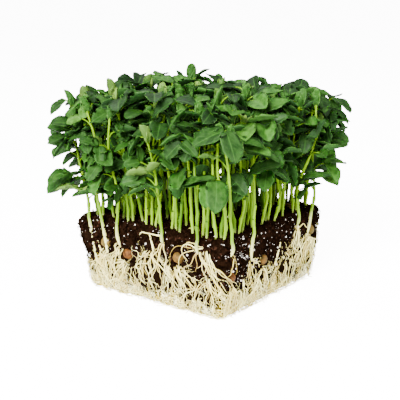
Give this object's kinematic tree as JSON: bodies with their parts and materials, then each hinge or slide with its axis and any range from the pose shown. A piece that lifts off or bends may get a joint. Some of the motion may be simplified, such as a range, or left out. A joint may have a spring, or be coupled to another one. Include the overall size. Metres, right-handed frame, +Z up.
{
  "type": "rooted block of pea shoot microgreens",
  "caption": "Square block of potting mix held by a pale root mat, with seeds in its faces and a dense stand of leafy pea shoots growing from its top.",
  "frame": {"origin": "centre of the block's flat underside, which rests on z = 0", "axes": "+Z up along the shoots; X and Y square to the block's sides; the corner at -X -Y is the one that stands nearest in the usual view"},
  "size_m": [0.1784, 0.1797, 0.1515],
  "materials": {
    "potting_mix": "moist dark peat and bark mix with white mineral grains, matt and crumbly",
    "roots": "matted cream-white roots with tan patches, satin where moist",
    "pea_seed": "wrinkled brown seed coat, half matt",
    "pea_green": "fresh green leaves with a faint waxy bloom, bright yellow-green stems"
  },
  "bodies": {
    "root": {"root_mat": "roots", "seed_1": "pea_seed", "seed_2": "pea_seed", "seed_3": "pea_seed", "seed_4": "pea_seed", "seed_5": "pea_seed", "seed_6": "pea_seed", "seed_7": "pea_seed", "seed_8": "pea_seed", "seed_9": "pea_seed", "shoot_01": "pea_green", "shoot_02": "pea_green", "shoot_03": "pea_green", "shoot_04": "pea_green", "shoot_05": "pea_green", "shoot_06": "pea_green", "shoot_07": "pea_green", "shoot_08": "pea_green", "shoot_09": "pea_green", "shoot_10": "pea_green", "shoot_11": "pea_green", "shoot_12": "pea_green", "shoot_13": "pea_green", "shoot_14": "pea_green", "shoot_15": "pea_green", "shoot_16": "pea_green", "shoot_17": "pea_green", "shoot_18": "pea_green", "shoot_19": "pea_green", "shoot_20": "pea_green", "shoot_21": "pea_green", "shoot_22": "pea_green", "shoot_23": "pea_green", "shoot_24": "pea_green", "shoot_25": "pea_green", "shoot_26": "pea_green", "shoot_27": "pea_green", "shoot_28": "pea_green", "shoot_29": "pea_green", "shoot_30": "pea_green", "shoot_31": "pea_green", "shoot_32": "pea_green", "shoot_33": "pea_green", "shoot_34": "pea_green", "shoot_35": "pea_green", "shoot_36": "pea_green", "shoot_37": "pea_green", "shoot_38": "pea_green", "shoot_39": "pea_green", "shoot_40": "pea_green", "shoot_41": "pea_green", "shoot_42": "pea_green", "shoot_43": "pea_green", "shoot_44": "pea_green", "shoot_45": "pea_green", "shoot_46": "pea_green", "shoot_47": "pea_green", "shoot_48": "pea_green", "shoot_49": "pea_green", "soil": "potting_mix"}
  },
  "joints": []
}
